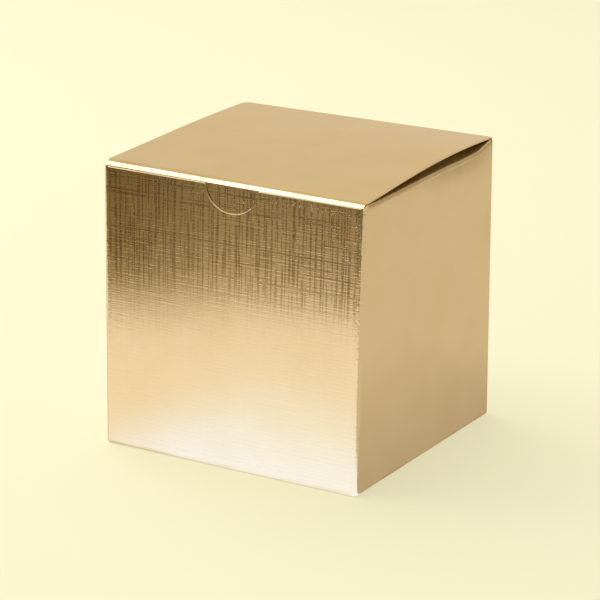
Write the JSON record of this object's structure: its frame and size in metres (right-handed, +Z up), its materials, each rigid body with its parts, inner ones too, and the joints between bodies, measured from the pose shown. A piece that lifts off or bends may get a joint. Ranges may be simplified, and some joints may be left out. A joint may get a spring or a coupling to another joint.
{
  "type": "favor box",
  "caption": "Closed near-cube favor box of gold linen-embossed foil board: hinged tuck-top lid, thumb notch in the front wall, dust flaps under the lid and a snap-lock bottom.",
  "frame": {"origin": "middle of the box's footprint, on the surface it stands on", "axes": "+X to the right seen from the front, +Y from the front wall to the back wall, +Z up"},
  "size_m": [0.1, 0.096, 0.102],
  "materials": {
    "gold_board": "satin",
    "glue": "satin"
  },
  "bodies": {
    "carton": {"front_wall": "gold_board", "right_wall": "gold_board", "back_wall": "gold_board", "left_wall": "gold_board", "front_left_crease": "gold_board", "front_right_crease": "gold_board", "back_right_crease": "gold_board", "glue_flap_crease": "gold_board", "glue_flap": "gold_board", "glue_line": "glue", "lid_crease": "gold_board", "right_dust_crease": "gold_board", "left_dust_crease": "gold_board", "front_base_crease": "gold_board", "right_base_crease": "gold_board", "back_base_crease": "gold_board", "left_base_crease": "gold_board", "front_base_panel": "gold_board", "right_base_panel": "gold_board", "back_base_panel": "gold_board", "left_base_panel": "gold_board"},
    "lid": {"lid_panel": "gold_board", "tuck_crease": "gold_board"},
    "tuck": {"tuck_flap": "gold_board"},
    "right_dust": {"right_dust_flap": "gold_board"},
    "left_dust": {"left_dust_flap": "gold_board"}
  },
  "joints": [
    {"name": "lid_hinge", "type": "hinge", "parent": "carton", "child": "lid", "pos_m": [0, 0.0468, 0.1008], "axis": [-1, 0, 0], "range_deg": [0, 180], "deforming": ["lid_crease"]},
    {"name": "tuck_bend", "type": "hinge", "parent": "lid", "child": "tuck", "pos_m": [0, -0.04515, 0.1], "axis": [-1, 0, 0], "range_deg": [0, 90], "deforming": ["tuck_crease"]},
    {"name": "right_dust_bend", "type": "hinge", "parent": "carton", "child": "right_dust", "pos_m": [0.0488, 0, 0.0983], "axis": [0, 1, 0], "range_deg": [0, 90], "deforming": ["right_dust_crease"]},
    {"name": "left_dust_bend", "type": "hinge", "parent": "carton", "child": "left_dust", "pos_m": [-0.0488, 0, 0.0983], "axis": [0, -1, 0], "range_deg": [0, 90], "deforming": ["left_dust_crease"]}
  ],
  "couplings": [
    {"joint": "tuck_bend", "follows": "lid_hinge", "ratio": 0.5},
    {"joint": "right_dust_bend", "follows": "lid_hinge", "ratio": 0.5},
    {"joint": "left_dust_bend", "follows": "lid_hinge", "ratio": 0.5}
  ]
}
